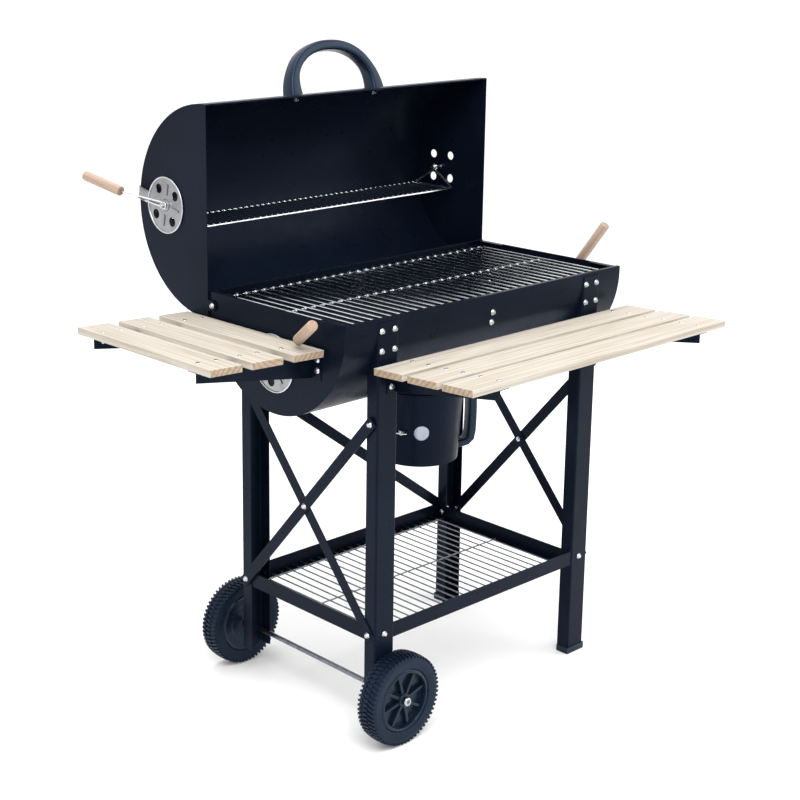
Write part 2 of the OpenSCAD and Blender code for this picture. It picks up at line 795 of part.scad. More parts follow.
// Flat bar with a hole at each end, between two bolt positions in a plane of constant X.
module brace_bar(x, from, to) {
    direction = to - from;
    length = norm(direction);
    translate([x, from[0], from[1]]) rotate([90, 0, 90])
        linear_extrude(brace_thickness) rotate(atan2(direction[1], direction[0])) difference() {
            translate([-11, -brace_width / 2]) square([length + 22, brace_width]);
            for (d = [0, length / 2, length]) translate([d, 0]) circle(r = hole_r, $fn = 24);
        }
}

// Pair of crossing bars, the first nearer the leg; out is the way they stack.
module brace_pair(face_x, out) {
    for (layer = [0, 1]) {
        low = layer == 0 ? -brace_y : brace_y;
        offset_x = gap + layer * (brace_thickness + gap);
        brace_bar(out > 0 ? face_x + offset_x : face_x - offset_x - brace_thickness,
                  [low, brace_low], [-low, brace_high]);
    }
}

module left_braces() place(black_paint) brace_pair(left_face_x, -1);

module right_braces() place(black_paint) brace_pair(right_face_x, 1);

module rear_brace() place(black_paint)
    translate([0, leg_face + gap + brace_thickness, 0]) rotate([90, 0, 0])
        linear_extrude(brace_thickness) difference() {
            from = [left_leg_x, brace_high];
            direction = [right_leg_x, brace_low] - from;
            translate(from) rotate(atan2(direction[1], direction[0])) difference() {
                translate([-11, -brace_width / 2]) square([norm(direction) + 22, brace_width]);
                for (d = [0, norm(direction)]) translate([d, 0]) circle(r = hole_r, $fn = 24);
            }
        }

module frame_bolts() place(zinc) {
    stack = brace_thickness + gap;
    // leg flanges: two brace layers' height, the flange and, low down, a tray rail
    for (side = [-1, 1]) {
        bolt([left_face_x - 2 * stack - gap, side * brace_y, brace_low], [1, 0, 0],
             2 * stack + 2 * leg_sheet + 5 * gap);
        bolt([left_face_x - 2 * stack - gap, side * brace_y, brace_high], [1, 0, 0],
             2 * stack + leg_sheet + 3 * gap);
        for (z = [brace_low, brace_high])
            bolt([right_face_x + 2 * stack + gap, side * brace_y, z], [-1, 0, 0],
                 2 * stack + leg_sheet + 3 * gap);
        bolt([right_rail_x - leg_sheet - gap, side * brace_y, brace_low], [1, 0, 0],
             2 * leg_sheet + 3 * gap);
    }
    // pivots where the side braces cross
    middle_z = (brace_low + brace_high) / 2;
    bolt([left_face_x - 2 * stack - gap, 0, middle_z], [1, 0, 0], 2 * stack + 2 * gap);
    bolt([right_face_x + 2 * stack + gap, 0, middle_z], [-1, 0, 0], 2 * stack + 2 * gap);
    // webs: front and rear tray rails and the rear brace
    for (middle_x = [left_leg_x, right_leg_x]) {
        bolt([middle_x, -leg_face - gap, brace_low], [0, 1, 0], 2 * leg_sheet + 3 * gap);
        bolt([middle_x, leg_face + stack + gap, brace_low], [0, -1, 0],
             stack + 2 * leg_sheet + 3 * gap);
    }
    bolt([left_leg_x, leg_face + stack + gap, brace_high], [0, -1, 0], stack + leg_sheet + 2 * gap);
    // shelf brackets
    front_bracket_bolts()
        bolt([0, -leg_sheet - 2 * gap, 0], [0, 1, 0], 2 * leg_sheet + 4 * gap);
    side_bracket_bolts()
        bolt([-leg_sheet - 2 * gap, 0, 0], [1, 0, 0], leg_sheet + sheet + 4 * gap);
}

module leg_bolts() place(zinc)
    for (middle_x = [left_leg_x, right_leg_x], dx = [-16, 16]) {
        for (z = [front_bolt_z, front_bolt_low_z])
            bolt([middle_x + dx, -leg_face - gap, z], [0, 1, 0], nut_grip(z));
        bolt([middle_x + dx, leg_face + gap, rear_bolt_z], [0, -1, 0], nut_grip(rear_bolt_z));
    }

// Length from a leg's face to the nut that seats inside the curved wall.
function nut_grip(z) =
    leg_face + gap - sqrt(inner_radius * inner_radius - pow(barrel_height - z + 6, 2)) + gap;

// ---------- axle and wheels ----------

module axle() place(zinc)
    rod([axle_x, axle_front, axle_z], [axle_x, axle_back, axle_z], axle_r, 48);

module axle_caps() place(zinc)
    for (end = [[axle_front, -1], [axle_back, 1]])
        aim([axle_x, end[0], axle_z], [0, end[1], 0]) difference() {
            translate([0, 0, -4]) union() {
                cylinder(h = 5, r = 9);
                translate([0, 0, 5]) cylinder(h = 1.5, r1 = 9, r2 = 6);
            }
            translate([0, 0, -5]) cylinder(h = 5 + gap, r = axle_r + 0.05);
        }

// Washer and split pin on the leg side of the rear wheel.
module axle_clips() place(zinc) translate([axle_x, rear_wheel_y - tyre_width / 2, axle_z]) {
    rotate([90, 0, 0]) difference() {
        translate([0, 0, 0.4]) cylinder(h = 1.6, r = 11);
        cylinder(h = 10, r = axle_r + run, center = true);
    }
}

// Spoked plastic wheel, drawn about its own middle with its axle along Y.
module wheel_body() rotate([90, 0, 0]) difference() {
    half = tyre_width / 2;
    union() {
        linear_extrude(tyre_width - 8, center = true) difference() {
            circle(r = rim_radius);
            circle(r = rim_radius - 5);
        }
        linear_extrude(8, center = true) circle(r = rim_radius - 2);
        for (i = [0 : 7])
            rotate([0, 0, 45 * i])
                block([15, -2.5, -half + 9], [rim_radius - 3, 2.5, half - 9]);
        cylinder(h = tyre_width - 2, r = 20, center = true);
    }
    cylinder(h = 100, r = axle_r + run, center = true);
    for (i = [0 : 7])
        rotate([0, 0, 45 * i + 22.5]) translate([39, 0, 0]) cylinder(h = 100, r = 8.5, center = true);
}

// Tyre with three rows of lugs, the middle row half a pitch round.
module tyre_body() rotate([90, 0, 0]) difference() {
    row = tyre_width / 3;
    lug_width = PI * wheel_diameter / lugs_per_row * 0.6;
    union() {
        cylinder(h = tyre_width, r = wheel_diameter / 2 - lug_depth, center = true);
        for (i = [-1 : 1])
            translate([0, 0, i * row]) rotate([0, 0, i == 0 ? 180 / lugs_per_row : 0])
                linear_extrude(row - 2, center = true) intersection() {
                    circle(r = wheel_diameter / 2);
                    for (k = [0 : lugs_per_row - 1])
                        rotate(360 / lugs_per_row * (k + 0.5) - 90)
                            translate([70, -lug_width / 2]) square([50, lug_width]);
                }
    }
    cylinder(h = 100, r = rim_radius + gap, center = true);
}

module at_wheel(y) {
    translate([axle_x, y, axle_z]) children();
}

module front_wheel() place(black_plastic) at_wheel(front_wheel_y) wheel_body();
module rear_wheel() place(black_plastic) at_wheel(rear_wheel_y) wheel_body();
module front_tyre() place(black_plastic) at_wheel(front_wheel_y) tyre_body();
module rear_tyre() place(black_plastic) at_wheel(rear_wheel_y) tyre_body();

// ---------- shelves ----------

// Frames whose z = 0 is the slats' top and whose origin is the edge next to the barrel.
module on_front_shelf() {
    translate([0, front_shelf_edge[0], front_shelf_edge[1]])
        rotate([-front_shelf_tilt, 0, 0]) children();
}

module on_side_shelf() {
    translate([side_shelf_edge[0], 0, side_shelf_edge[1]])
        rotate([0, side_shelf_tilt, 0]) children();
}

// Every screw of each shelf, in that shelf's frame.
module front_screw_spots() {
    for (x = front_screws_x, y = front_slats_y, dy = [-screw_offset, screw_offset])
        translate([x, y + dy, 0]) children();
}

module side_screw_spots() {
    for (y = side_screws_y, x = side_slats_x, dx = [-screw_offset, screw_offset])
        translate([x + dx, y, 0]) children();
}

module slat_screw() {
    translate([0, 0, -1]) cylinder(h = 1.8, r1 = 4.8, r2 = 3.6, $fn = 24);
    translate([0, 0, -slat_thickness - 8]) cylinder(h = slat_thickness + 7.5, r = 2.4, $fn = 16);
    translate([0, 0, -slat_thickness - leg_sheet - 4.3]) cylinder(h = 4, r = 4.6, $fn = 6);
}

module slat_screw_hole() {
    translate([0, 0, -1.1]) cylinder(h = 3, r = 5, $fn = 24);
    translate([0, 0, -slat_thickness - 10]) cylinder(h = slat_thickness + 11, r = 2.6, $fn = 16);
}

module shelf_slats() place(pine) {
    on_front_shelf() difference() {
        for (y = front_slats_y)
            block([front_slat_x[0], y - slat_width / 2, -slat_thickness],
                  [front_slat_x[1], y + slat_width / 2, 0]);
        front_screw_spots() slat_screw_hole();
    }
    on_side_shelf() difference() {
        for (x = side_slats_x)
            block([x - slat_width / 2, side_slat_y[0], -slat_thickness],
                  [x + slat_width / 2, side_slat_y[1], 0]);
        side_screw_spots() slat_screw_hole();
    }
}

module slat_screws() place(zinc) {
    on_front_shelf() front_screw_spots() slat_screw();
    on_side_shelf() side_screw_spots() slat_screw();
}

// Tapered web, top flange under the slats and end flange on the frame. Drawn with the
// shelf running out along +X, its top at z = 0 there, tilted up by tilt; the top flange
// turns to flange_side and the end flange to end_side.
module shelf_bracket(reach, tilt, root, depth, flange_side, end_side, end_width) {
    drop = slat_thickness / cos(tilt) + gap;
    rise = reach * tan(tilt);
    rotate([90, 0, 0]) {
        linear_extrude(leg_sheet, center = true)
            polygon([[root, root * tan(tilt) - drop], [reach, rise - drop],
                     [reach, rise - drop - 19], [root, -depth]]);
        translate([0, 0, -flange_side * 11]) linear_extrude(23, center = true)
            polygon([[root, root * tan(tilt) - drop], [reach, rise - drop],
                     [reach, rise - drop - leg_sheet], [root, root * tan(tilt) - drop - leg_sheet]]);
    }
    middle_y = end_side * (end_width / 2 - leg_sheet / 2);
    block([root, middle_y - end_width / 2, -depth],
          [root + leg_sheet, middle_y + end_width / 2, root * tan(tilt) - drop - 3]);
}

module front_bracket_bolts() {
    for (x = front_bracket_x, z = [700, 722])
        translate([x - 13, -leg_face, z]) children();
}

module front_shelf_brackets() place(black_paint) difference() {
    for (x = front_bracket_x)
        translate([x, front_shelf_edge[0], front_shelf_edge[1]]) rotate([0, 0, -90])
            shelf_bracket(236, front_shelf_tilt, -front_root, 60, 1, -1, 25);
    front_bracket_bolts() bolt_hole([0, 0, 0], [0, 1, 0], 20);
    on_front_shelf() front_screw_spots() slat_screw_hole();
}

module side_shelf_brackets() place(black_paint) difference() {
    translate([side_shelf_edge[0], 0, side_shelf_edge[1]]) rotate([0, 0, 180]) {
        translate([0, 104, 0])
            shelf_bracket(262, side_shelf_tilt, side_root, 61, -1, 1, 26);
        translate([0, -198, 0])
            shelf_bracket(262, side_shelf_tilt, side_root, 61, 1, 1, 50);
    }
    side_bracket_bolts() bolt_hole([0, 0, 0], [1, 0, 0], 20);
    on_side_shelf() side_screw_spots() slat_screw_hole();
}

// ---------- vent sub-parts ----------

module lid_left_vent() place(zinc) on_lid_plate(-1, lid_left_lever) vent_disc();
module lid_right_vent() place(zinc) on_lid_plate(1, lid_right_lever) vent_disc();
module body_left_vent() place(zinc) on_body_plate(-1, body_left_lever) vent_disc();
module body_right_vent() place(zinc) on_body_plate(1, body_right_lever) vent_disc();

module vent_wires_lid_left() place(chrome_wire)
    on_lid_plate(-1, lid_left_lever) lever_wire(straight_lever);
module vent_wires_lid_right() place(chrome_wire)
    on_lid_plate(1, lid_right_lever) lever_wire(straight_lever);
module vent_wires_body_left() place(chrome_wire)
    on_body_plate(-1, body_left_lever) lever_wire(kinked_lever);
module vent_wires_body_right() place(chrome_wire)
    on_body_plate(1, body_right_lever) lever_wire(straight_lever);

module grip_lid_left() place(beech) on_lid_plate(-1, lid_left_lever) grip(straight_lever);
module grip_lid_right() place(beech) on_lid_plate(1, lid_right_lever) grip(straight_lever);
module grip_body_left() place(beech) on_body_plate(-1, body_left_lever) grip(kinked_lever);
module grip_body_right() place(beech) on_body_plate(1, body_right_lever) grip(straight_lever);

module lid_hub_bolts() place(zinc)
    for (side = [-1, 1]) on_lid_plate(side, 0) hub_bolt(lid_end_x - rack_end_x + 6.5);

module body_hub_bolts() place(zinc)
    for (side = [-1, 1]) on_body_plate(side, 0) hub_bolt(10);

front_left_leg();
front_right_leg();
rear_left_leg();
rear_right_leg();
foot_caps();
front_tray_rail();
rear_tray_rail();
left_tray_rail();
right_tray_rail();
tray_grid();
left_braces();
right_braces();
rear_brace();
frame_bolts();
axle();
axle_caps();
axle_clips();
front_wheel();
rear_wheel();
front_tyre();
rear_tyre();
body_shell();
body_left_end();
body_right_end();
leg_bolts();
grate_brackets();
grate_ledges();
bracket_bolts();
charcoal_grate();
cooking_grate();
ash_collar();
ash_pot();
ash_pot_handle();
ash_damper();
ash_wing_nut();
hinge_bolts();
lid_shell();
lid_left_end();
lid_right_end();
lid_handle();
handle_screws();
warming_rack();
lid_hub_bolts();
body_hub_bolts();
lid_left_vent();
lid_right_vent();
body_left_vent();
body_right_vent();
vent_wires_lid_left();
vent_wires_lid_right();
vent_wires_body_left();
vent_wires_body_right();
grip_lid_left();
grip_lid_right();
grip_body_left();
grip_body_right();
shelf_slats();
front_shelf_brackets();
side_shelf_brackets();
slat_screws();
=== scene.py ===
"""Looks of the barrel charcoal grill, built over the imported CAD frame. Lengths in metres."""
import json
import math

import bmesh
import bpy
from mathutils import Matrix, Vector


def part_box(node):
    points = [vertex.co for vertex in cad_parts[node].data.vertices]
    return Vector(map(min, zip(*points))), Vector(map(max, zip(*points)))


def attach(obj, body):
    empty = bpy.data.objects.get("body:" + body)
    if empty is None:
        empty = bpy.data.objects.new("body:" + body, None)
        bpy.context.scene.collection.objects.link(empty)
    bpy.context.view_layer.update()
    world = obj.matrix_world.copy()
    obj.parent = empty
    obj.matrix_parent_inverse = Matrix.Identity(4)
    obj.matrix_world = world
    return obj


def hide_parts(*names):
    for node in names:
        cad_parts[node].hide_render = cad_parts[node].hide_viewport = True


MM = 0.001

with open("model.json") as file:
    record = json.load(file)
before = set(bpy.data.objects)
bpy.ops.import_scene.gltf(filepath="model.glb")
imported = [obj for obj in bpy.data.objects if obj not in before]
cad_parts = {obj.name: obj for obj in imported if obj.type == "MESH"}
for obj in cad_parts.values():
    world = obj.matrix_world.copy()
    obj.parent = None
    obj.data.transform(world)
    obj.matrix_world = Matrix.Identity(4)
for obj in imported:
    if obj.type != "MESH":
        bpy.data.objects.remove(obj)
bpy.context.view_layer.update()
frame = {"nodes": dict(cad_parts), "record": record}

shell_low, shell_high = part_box("body_shell")
MID = (shell_low + shell_high) / 2


def at(x, y, z):
    """A point given in millimetres from the floor under the barrel's middle."""
    return Vector((MID.x + x * MM, MID.y + y * MM, z * MM))


# ---------- node materials ----------

# sockets of a Mix node that mixes colours
MIX_FACTOR = 0
MIX_FIRST = 6
MIX_SECOND = 7
MIX_RESULT = 2

# an end face is one whose normal points this much along the grain
END_FACE_FROM = 0.75
END_FACE_FULL = 0.95


class Nodes:
    """Small helper round one material's node tree."""

    def __init__(self, name):
        self.material = bpy.data.materials.new(name)
        self.material.use_nodes = True
        self.tree = self.material.node_tree
        self.shader = self.tree.nodes["Principled BSDF"]

    def add(self, kind, **values):
        node = self.tree.nodes.new(kind)
        for key, value in values.items():
            setattr(node, key, value)
        return node

    def link(self, source, target):
        self.tree.links.new(source, target)

    def set(self, name, value):
        self.shader.inputs[name].default_value = value

    def coordinates(self, scale=(1, 1, 1), spread=0.0):
        """Object coordinates scaled per axis; spread shifts them by a random amount per object."""
        place = self.add("ShaderNodeTexCoord")
        mapping = self.add("ShaderNodeMapping")
        mapping.inputs["Scale"].default_value = scale
        self.link(place.outputs["Object"], mapping.inputs["Vector"])
        if spread:
            info = self.add("ShaderNodeObjectInfo")
            shift = self.add("ShaderNodeMath", operation="MULTIPLY")
            shift.inputs[1].default_value = spread
            self.link(info.outputs["Random"], shift.inputs[0])
            self.link(shift.outputs[0], mapping.inputs["Location"])
        return mapping.outputs["Vector"]

    def noise(self, vector, scale, detail=4.0, roughness=0.55):
        node = self.add("ShaderNodeTexNoise")
        node.inputs["Scale"].default_value = scale
        node.inputs["Detail"].default_value = detail
        node.inputs["Roughness"].default_value = roughness
        self.link(vector, node.inputs["Vector"])
        return node.outputs["Fac"]

    def ramp(self, factor, stops):
        node = self.add("ShaderNodeValToRGB")
        elements = node.color_ramp.elements
        while len(elements) < len(stops):
            elements.new(0.5)
        for element, (position, colour) in zip(elements, stops):
            element.position = position
            element.color = (*colour, 1)
        self.link(factor, node.inputs["Fac"])
        return node.outputs["Color"]

    def values(self, factor, low, high, start=0.3, end=0.7):
        node = self.add("ShaderNodeMapRange")
        node.inputs["From Min"].default_value = start
        node.inputs["From Max"].default_value = end
        node.inputs["To Min"].default_value = low
        node.inputs["To Max"].default_value = high
        self.link(factor, node.inputs["Value"])
        return node.outputs["Result"]

    def bump(self, height, strength, distance):
        node = self.add("ShaderNodeBump")
        node.inputs["Strength"].default_value = strength
        node.inputs["Distance"].default_value = distance
        self.link(height, node.inputs["Height"])
        self.link(node.outputs["Normal"], self.shader.inputs["Normal"])


def painted_sheet():
    """Satin blue-black heat-proof paint with faint orange peel and dust."""
    m = Nodes("black_paint")
    vector = m.coordinates()
    cloud = m.noise(vector, 6, 5)
    m.link(m.ramp(cloud, [(0.35, (0.0024, 0.0044, 0.0100)), (0.65, (0.0040, 0.0068, 0.0150))]),
           m.shader.inputs["Base Color"])
    m.link(m.values(m.noise(vector, 40, 3), 0.26, 0.40), m.shader.inputs["Roughness"])
    m.set("Specular IOR Level", 0.09)
    m.set("Specular Tint", (0.50, 0.68, 1.0, 1))
    m.bump(m.noise(vector, 900, 2), 0.05, 0.0002)
    return m.material


def metal(name, colour, rough, scratch=60):
    """Bright plated metal with fine cloudy wear."""
    m = Nodes(name)
    vector = m.coordinates()
    cloud = m.noise(vector, scratch, 4)
    dark = tuple(c * 0.72 for c in colour)
    m.link(m.ramp(cloud, [(0.3, dark), (0.62, colour)]), m.shader.inputs["Base Color"])
    m.link(m.values(m.noise(vector, scratch * 4, 3), rough * 0.7, rough * 1.4),
           m.shader.inputs["Roughness"])
    m.set("Metallic", 1.0)
    m.bump(m.noise(vector, 700, 2), 0.08, 0.0003)
    return m.material


def plastic(name, colour, rough, shine):
    """Moulded plastic with a slightly uneven gloss."""
    m = Nodes(name)
    vector = m.coordinates()
    cloud = m.noise(vector, 12, 4)
    bright = tuple(c * 1.5 for c in colour)
    m.link(m.ramp(cloud, [(0.35, colour), (0.7, bright)]), m.shader.inputs["Base Color"])
    m.link(m.values(m.noise(vector, 90, 3), rough * 0.75, rough * 1.3),
           m.shader.inputs["Roughness"])
    m.set("Specular IOR Level", shine)
    m.set("Specular Tint", (0.50, 0.72, 1.0, 1))
    m.bump(m.noise(vector, 500, 2), 0.10, 0.0003)
    return m.material


def wood(name, pale, dark, end, ring_scale, rough=0.62):
    """Solid wood: rings round an off-centre pith, so long faces show grain and ends show rings."""
    m = Nodes(name)
    place = m.coordinates((0.12, 1, 1), spread=3.0)
    shift = m.add("ShaderNodeMapping")
    shift.inputs["Location"].default_value = (0, 0.035, -0.075)
    m.link(place, shift.inputs["Vector"])
    rings = m.add("ShaderNodeTexWave", wave_type="RINGS", rings_direction="X",
                  wave_profile="SAW")
    rings.inputs["Scale"].default_value = ring_scale
    rings.inputs["Distortion"].default_value = 3.0
    rings.inputs["Detail"].default_value = 2.0
    rings.inputs["Detail Scale"].default_value = 0.30
    m.link(shift.outputs["Vector"], rings.inputs["Vector"])
    fibre = m.noise(m.coordinates((1.2, 34, 34), spread=5.0), 4, 2, 0.6)
    lines = m.ramp(rings.outputs["Fac"], [(0.0, pale), (0.55, pale), (0.93, dark), (1.0, pale)])
    surface = m.add("ShaderNodeTexCoord")
    split = m.add("ShaderNodeSeparateXYZ")
    m.link(surface.outputs["Normal"], split.inputs["Vector"])
    along = m.add("ShaderNodeMath", operation="ABSOLUTE")
    m.link(split.outputs["X"], along.inputs[0])
    # the grain is faint on the long faces and clear on the sawn ends
    grain = m.add("ShaderNodeMix", data_type="RGBA")
    strength = m.values(along.outputs[0], 0.4, 1.0, END_FACE_FROM, END_FACE_FULL)
    m.link(strength, grain.inputs[MIX_FACTOR])
    grain.inputs[MIX_FIRST].default_value = (*pale, 1)
    m.link(lines, grain.inputs[MIX_SECOND])
    fibres = m.ramp(fibre, [(0.38, (0.78, 0.72, 0.64)), (0.58, (1, 1, 1))])
    mix = m.add("ShaderNodeMix", data_type="RGBA", blend_type="MULTIPLY")
    mix.inputs[MIX_FACTOR].default_value = 0.75
    m.link(grain.outputs[MIX_RESULT], mix.inputs[MIX_FIRST])
    m.link(fibres, mix.inputs[MIX_SECOND])
    # the sawn ends are darker
    is_end = m.values(along.outputs[0], 0.0, 0.85, END_FACE_FROM, END_FACE_FULL)
    ends = m.add("ShaderNodeMix", data_type="RGBA", blend_type="MULTIPLY")
    m.link(is_end, ends.inputs[MIX_FACTOR])
    m.link(mix.outputs[MIX_RESULT], ends.inputs[MIX_FIRST])
    ends.inputs[MIX_SECOND].default_value = (*end, 1)
    m.link(ends.outputs[MIX_RESULT], m.shader.inputs["Base Color"])
    m.link(m.values(fibre, rough * 0.85, rough * 1.15), m.shader.inputs["Roughness"])
    m.set("Specular IOR Level", 0.3)
    m.bump(fibre, 0.12, 0.0003)
    return m.material


PAINT = painted_sheet()
ZINC = metal("zinc_plate", (0.56, 0.58, 0.61), 0.26)
GALVANISED = metal("galvanised_disc", (0.34, 0.34, 0.35), 0.30, 35)
CHROME = metal("chrome_wire", (0.78, 0.80, 0.82), 0.16)
STEEL = metal("steel_rod", (0.20, 0.21, 0.24), 0.30)
SLIDE_STEEL = metal("slide_steel", (0.33, 0.36, 0.42), 0.34)
TRAY_STEEL = metal("tray_steel", (0.22, 0.23, 0.25), 0.34)
PINE = wood("pine", (0.47, 0.435, 0.385), (0.29, 0.23, 0.165), (0.72, 0.59, 0.46), 34)
BEECH = wood("beech", (0.43, 0.325, 0.26), (0.31, 0.21, 0.155), (0.85, 0.75, 0.68), 120, 0.5)
BLACK_PLASTIC = plastic("black_plastic", (0.0045, 0.0085, 0.017), 0.24, 0.30)
TYRE = plastic("tyre_plastic", (0.0050, 0.0095, 0.019), 0.36, 0.16)

SLOT_MATERIAL = {
    "black_paint": PAINT,
    "zinc_plate": ZINC,
    "chrome_wire": CHROME,
    "pine": PINE,
    "beech": BEECH,
    "black_plastic": BLACK_PLASTIC,
    "tyre_plastic": TYRE,
}
SPECIAL = {
    "axle": STEEL,
    "ash_damper": SLIDE_STEEL,
    "tray_grid": TRAY_STEEL,
    "lid_left_vent": GALVANISED,
    "lid_right_vent": GALVANISED,
    "body_left_vent": GALVANISED,
    "body_right_vent": GALVANISED,
}


def dress_cad_nodes():
    """Gives every CAD node its slot's material, or its own where it's listed in SPECIAL."""
    slots = {s["node"]: s["material_slot"] for s in frame["record"]["subparts"]}
    for name, obj in frame["nodes"].items():
        obj.data.materials.clear()
        obj.data.materials.append(SPECIAL.get(name, SLOT_MATERIAL[slots[name]]))


# ---------- mesh helpers ----------

def piece(name, mesh_source, material, body, replaced=(), matrix=None, smooth=True):
    """Turns a bmesh into an object that rides on a body and stands for CAD nodes."""
    data = bpy.data.meshes.new(name)
    bmesh.ops.recalc_face_normals(mesh_source, faces=mesh_source.faces)
    mesh_source.to_mesh(data)
    mesh_source.free()
    data.materials.append(material)
    if smooth:
        data.shade_smooth()
    obj = bpy.data.objects.new(name, data)
    bpy.context.scene.collection.objects.link(obj)
    if matrix is not None:
        obj.matrix_world = matrix
    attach(obj, body)
    if replaced:
        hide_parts(*replaced)
    return obj


def soften(obj, width, segments=2, angle=35):
    """Rounds the sharp edges and keeps flat faces flat."""
    bevel = obj.modifiers.new("soft_edges", "BEVEL")
    bevel.width = width
    bevel.segments = segments
    bevel.limit_method = "ANGLE"
    bevel.angle_limit = math.radians(angle)
    bevel.harden_normals = True
    return obj


def new_board(length, width, thickness, cuts=6):
    """A box round the origin, divided by cuts along its length, which is X."""
    bm = bmesh.new()
    bmesh.ops.create_cube(bm, size=1)
    bmesh.ops.scale(bm, vec=(length, width, thickness), verts=bm.verts)
    long_edges = [e for e in bm.edges if abs((e.verts[0].co - e.verts[1].co).x) > length / 2]
    bmesh.ops.subdivide_edges(bm, edges=long_edges, cuts=cuts)
    return bm


def lathe(profile, steps=48, closed=False):
    """Spins (radius, height) points round Z. Points with radius 0 close the ends."""
    bm = bmesh.new()
    rings = []
    for radius, height in profile:
        if radius < 1e-7:
            rings.append([bm.verts.new((0, 0, height))])
        else:
            rings.append([
                bm.verts.new((radius * math.cos(2 * math.pi * i / steps),
                              radius * math.sin(2 * math.pi * i / steps), height))
                for i in range(steps)
            ])
    pairs = list(zip(rings, rings[1:]))
    if closed:
        pairs.append((rings[-1], rings[0]))
    for a, b in pairs:
        for i in range(steps):
            j = (i + 1) % steps
            if len(a) == 1:
                bm.faces.new((a[0], b[i], b[j]))
            elif len(b) == 1:
                bm.faces.new((a[i], a[j], b[0]))
            else:
                bm.faces.new((a[i], a[j], b[j], b[i]))
    return bm


def aim(origin, direction, up=(0, 0, 1)):
    """Matrix that puts local Z along direction and local Y near up."""
    z = Vector(direction).normalized()
    x = Vector(up).cross(z)
    if x.length < 1e-6:
        x = Vector((1, 0, 0)).cross(z)
    x.normalize()
    y = z.cross(x)
    rotation = Matrix((x, y, z)).transposed().to_4x4()
    return Matrix.Translation(Vector(origin)) @ rotation


# ---------- pieces ----------

SLAT_WIDTH = 71 * MM
SLAT_THICKNESS = 13 * MM
FRONT_TILT = math.radians(2.6)
FRONT_SLAT_LENGTH = 727 * MM
FRONT_SLAT_Y = (-38, -121, -203)
SIDE_TILT = math.radians(2.4)
SIDE_SLAT_LENGTH = 393 * MM
SIDE_SLAT_X = (-42, -137, -229)


def build_slats():
    """Six planed boards with eased edges; local X runs along the grain."""
    front_top = Matrix.Translation(at(31.5, -205, 747.5)) @ Matrix.Rotation(-FRONT_TILT, 4, "X")
    for i, y in enumerate(FRONT_SLAT_Y):
        middle = Matrix.Translation((0, y * MM, -SLAT_THICKNESS / 2))
        build_slat(f"front_slat_{i + 1}", FRONT_SLAT_LENGTH, front_top @ middle)
    side_top = Matrix.Translation(at(-387, 51.5, 779)) @ Matrix.Rotation(SIDE_TILT, 4, "Y")
    quarter_turn = Matrix.Rotation(math.pi / 2, 4, "Z")
    for i, x in enumerate(SIDE_SLAT_X):
        middle = Matrix.Translation((x * MM, 0, -SLAT_THICKNESS / 2))
        build_slat(f"side_slat_{i + 1}", SIDE_SLAT_LENGTH, side_top @ middle @ quarter_turn)


def build_slat(name, length, matrix):
    bm = new_board(length, SLAT_WIDTH, SLAT_THICKNESS)
    obj = piece(name, bm, PINE, "cart", ("shelf_slats",), matrix, smooth=False)
    soften(obj, 1.1 * MM, 3)


AXLE_X = -266
AXLE_Z = 90
WHEEL_HALF_WIDTH = 20.5 * MM
TYRE_BEAD = 62.2 * MM
TREAD_BASE = 86.4 * MM
TREAD_TOP = 90 * MM
LUGS_PER_ROW = 60
RIBS = 8


def build_tyre(name, center, outward, body, node):
    """Hard tyre with three rows of small staggered lugs and a smooth, slightly sunk side wall."""
    half = WHEEL_HALF_WIDTH
    side = [(TYRE_BEAD, half - 3 * MM), (TYRE_BEAD + 2 * MM, half - 1 * MM),
            (TYRE_BEAD + 9 * MM, half - 0.4 * MM), (TREAD_BASE - 8 * MM, half),
            (TREAD_BASE - 2.2 * MM, half - 1 * MM), (TREAD_BASE, half - 3.4 * MM)]
    profile = [(r, -z) for r, z in side] + side[::-1]
    bm = lathe(profile, 120, closed=True)
    for row in (-1, 0, 1):
        stagger = 0.5 if row == 0 else 0
        for k in range(LUGS_PER_ROW):
            add_lug(bm, 2 * math.pi * (k + stagger) / LUGS_PER_ROW, row)
    obj = piece(name, bm, TYRE, body, (node,), aim(center, outward), smooth=False)
    return soften(obj, 0.5 * MM, 2, 30)


def add_lug(bm, turn, row):
    """One tread block, narrower at its top; the outer rows slope down over the shoulder."""
    half = WHEEL_HALF_WIDTH
    width = half * 0.62
    middle = row * (half - width / 2)
    arc_length = 2 * math.pi / LUGS_PER_ROW * 0.60
    corners = []
    for radius, spread in ((TREAD_BASE - 3 * MM, 1.0), (TREAD_TOP, 0.82)):
        for across, along in ((-1, -1), (1, -1), (1, 1), (-1, 1)):
            on_shoulder = row and across == row
            z = row * half if on_shoulder else middle + across * width / 2 * 0.94
            drop = 1.8 * MM if on_shoulder and radius == TREAD_TOP else 0
            angle = turn + along * arc_length / 2 * spread + 0.02 * row * across
            reach = radius - drop
            corners.append(bm.verts.new((reach * math.cos(angle), reach * math.sin(angle), z)))
    bottom, top = corners[:4], corners[4:]
    bm.faces.new(top)
    bm.faces.new(bottom[::-1])
    for i in range(4):
        j = (i + 1) % 4
        bm.faces.new((bottom[i], bottom[j], top[j], top[i]))


